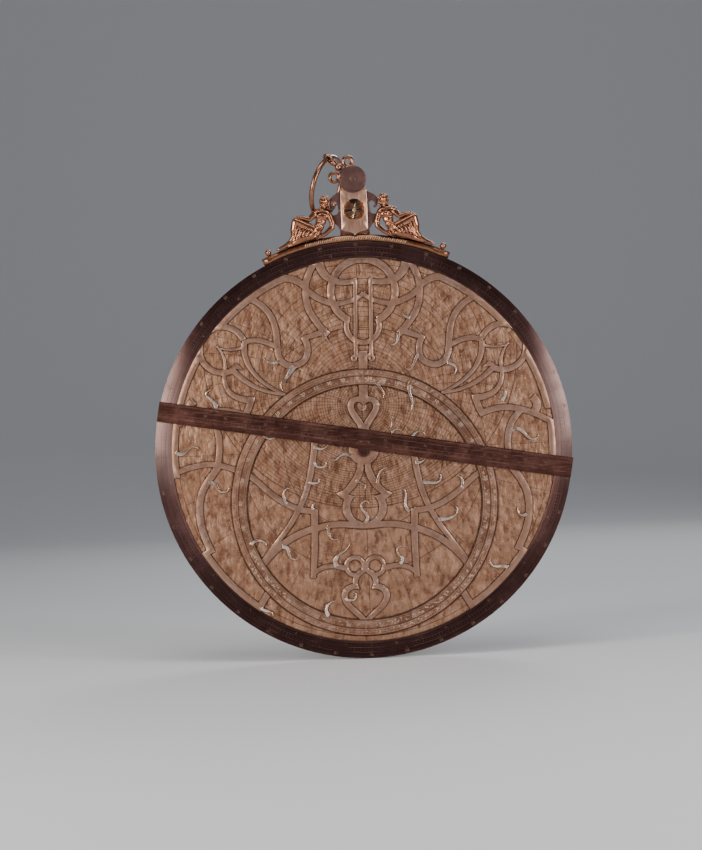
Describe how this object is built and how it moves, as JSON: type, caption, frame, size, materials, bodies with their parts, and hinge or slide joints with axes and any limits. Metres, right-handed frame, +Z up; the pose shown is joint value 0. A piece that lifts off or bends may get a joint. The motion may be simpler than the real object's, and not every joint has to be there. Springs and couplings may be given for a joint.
{
  "type": "astrolabe",
  "caption": "Large flat brass astrolabe: disc with degree limb, lace rete with star pointers, turning rule and alidade, gilt throne with seated figures, compass, shackle, swivel and ring.",
  "frame": {"origin": "lowest point of the rim, halfway through the mater's thickness", "axes": "+X to the right as the front is seen, +Y away from the viewer, out of the back, +Z up through the throne"},
  "size_m": [0.5904, 0.0861, 0.7157],
  "materials": {
    "mater_brass": "aged, lathe-turned, dull",
    "limb_bronze": "dark patina, lathe-turned",
    "tympan_brass": "aged, engraved, satin",
    "rete_brass": "aged, satin",
    "star_brass": "rubbed bright on top",
    "rule_bronze": "dark red-brown patina, satin",
    "gilt": "gilt, polished, patina in the hollows",
    "tarnished": "dark tarnish, matt",
    "pale_brass": "satin",
    "steel": "blued and rubbed",
    "card": "warm brown, matt",
    "glass": "clear"
  },
  "bodies": {
    "mater": {"mater_back_plate": "mater_brass", "limb_ring": "limb_bronze", "limb_rivets": "mater_brass", "tympan_lower": "tympan_brass", "tympan_middle": "tympan_brass", "tympan_upper": "tympan_brass", "centre_pin": "steel", "pin_washer": "pale_brass", "pin_wedge": "steel", "throne_base_arc": "gilt", "throne_pedestal": "gilt", "throne_scroll_plate": "tarnished", "throne_front_plate": "pale_brass", "throne_back_cover": "pale_brass", "throne_screws": "steel", "end_knobs": "gilt", "figure_left": "gilt", "figure_right": "gilt", "compass_bowl": "gilt", "compass_card": "card", "compass_pivot": "steel", "compass_strip": "pale_brass", "compass_glass": "glass", "shackle_pin": "tarnished"},
    "needle": {"compass_needle": "steel"},
    "rete": {"rete_frame": "rete_brass", "star_pointers": "star_brass"},
    "rule": {"rule_blade": "rule_bronze", "rule_eye": "rule_bronze", "rule_rivets": "rule_bronze"},
    "alidade": {"alidade_bar": "mater_brass", "vane_hinge_lugs": "mater_brass", "vane_hinge_pins": "steel", "hinge_lug_screws": "steel"},
    "vane_left": {"sight_vane_left": "mater_brass"},
    "vane_right": {"sight_vane_right": "mater_brass"},
    "shackle": {"shackle_front_cheek": "tarnished", "shackle_back_cheek": "tarnished", "shackle_loops": "gilt", "shackle_rivets": "tarnished"},
    "swivel": {"swivel": "gilt"},
    "ring": {"suspension_ring": "gilt"}
  },
  "joints": [
    {"name": "rete_turn", "type": "hinge", "parent": "mater", "child": "rete", "pos_m": [0, 0, 0.295], "axis": [0, 1, 0], "continuous": true},
    {"name": "rule_turn", "type": "hinge", "parent": "mater", "child": "rule", "pos_m": [0, 0, 0.295], "axis": [0, 1, 0], "continuous": true},
    {"name": "alidade_turn", "type": "hinge", "parent": "mater", "child": "alidade", "pos_m": [0, 0, 0.295], "axis": [0, 1, 0], "continuous": true},
    {"name": "vane_left_fold", "type": "hinge", "parent": "alidade", "child": "vane_left", "pos_m": [-0.19004, 0.0114, 0.16193], "axis": [0.5736, 0, -0.8192], "range_deg": [0, 90]},
    {"name": "vane_right_fold", "type": "hinge", "parent": "alidade", "child": "vane_right", "pos_m": [0.19004, 0.0114, 0.42807], "axis": [-0.5736, 0, 0.8192], "range_deg": [0, 90]},
    {"name": "needle_turn", "type": "hinge", "parent": "mater", "child": "needle", "pos_m": [0, 0, 0.6346], "axis": [0, 1, 0], "continuous": true},
    {"name": "shackle_swing", "type": "hinge", "parent": "mater", "child": "shackle", "pos_m": [0, 0, 0.678], "axis": [0, 1, 0], "range_deg": [0, 96]},
    {"name": "swivel_turn", "type": "hinge", "parent": "shackle", "child": "swivel", "pos_m": [-0.03419, 0, 0.70878], "axis": [-0.7431, 0, 0.6691], "range_deg": [-240, 0]},
    {"name": "ring_swing", "type": "hinge", "parent": "swivel", "child": "ring", "pos_m": [-0.03419, 0, 0.70878], "axis": [-0.5027, -0.66, -0.5583], "range_deg": [-75, 0]}
  ]
}
